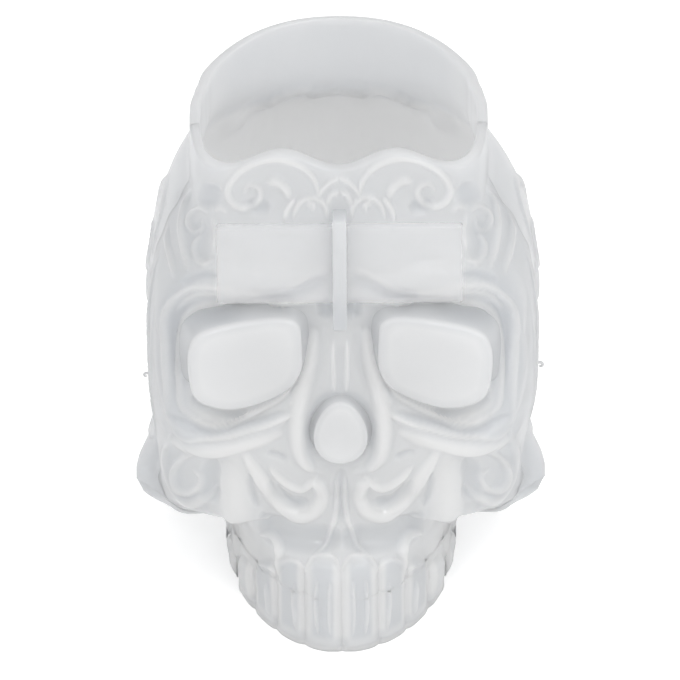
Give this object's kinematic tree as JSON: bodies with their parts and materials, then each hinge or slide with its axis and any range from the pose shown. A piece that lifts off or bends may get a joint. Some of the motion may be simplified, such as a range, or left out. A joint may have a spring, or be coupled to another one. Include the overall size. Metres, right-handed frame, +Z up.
{
  "type": "silicone skull mould",
  "caption": "Thin translucent skull mould, open at the crown by a plain collar, slit down both sides so the face half swings forward, with flat-topped feet on the face.",
  "frame": {"origin": "under the middle of the mould's box, on the surface it stands on", "axes": "+Z up through the pour mouth, the face looks along -Y, +X is the skull's own left side"},
  "size_m": [0.1058, 0.1184, 0.135],
  "materials": {
    "skin": "translucent milky silicone skin, soft satin",
    "block": "thick milky silicone, whiter than the skin, soft satin"
  },
  "bodies": {
    "rear_half": {"rear_shell": "skin"},
    "face_half": {"face_shell": "skin", "left_eye_foot": "block", "right_eye_foot": "block", "nose_foot": "block", "forehead_foot": "block"}
  },
  "joints": [
    {"name": "face_opening", "type": "hinge", "parent": "rear_half", "child": "face_half", "pos_m": [0, -0.01419, 0.007], "axis": [1, 0, 0], "range_deg": [0, 45], "stiffness_Nm_per_rad": 0.02}
  ]
}
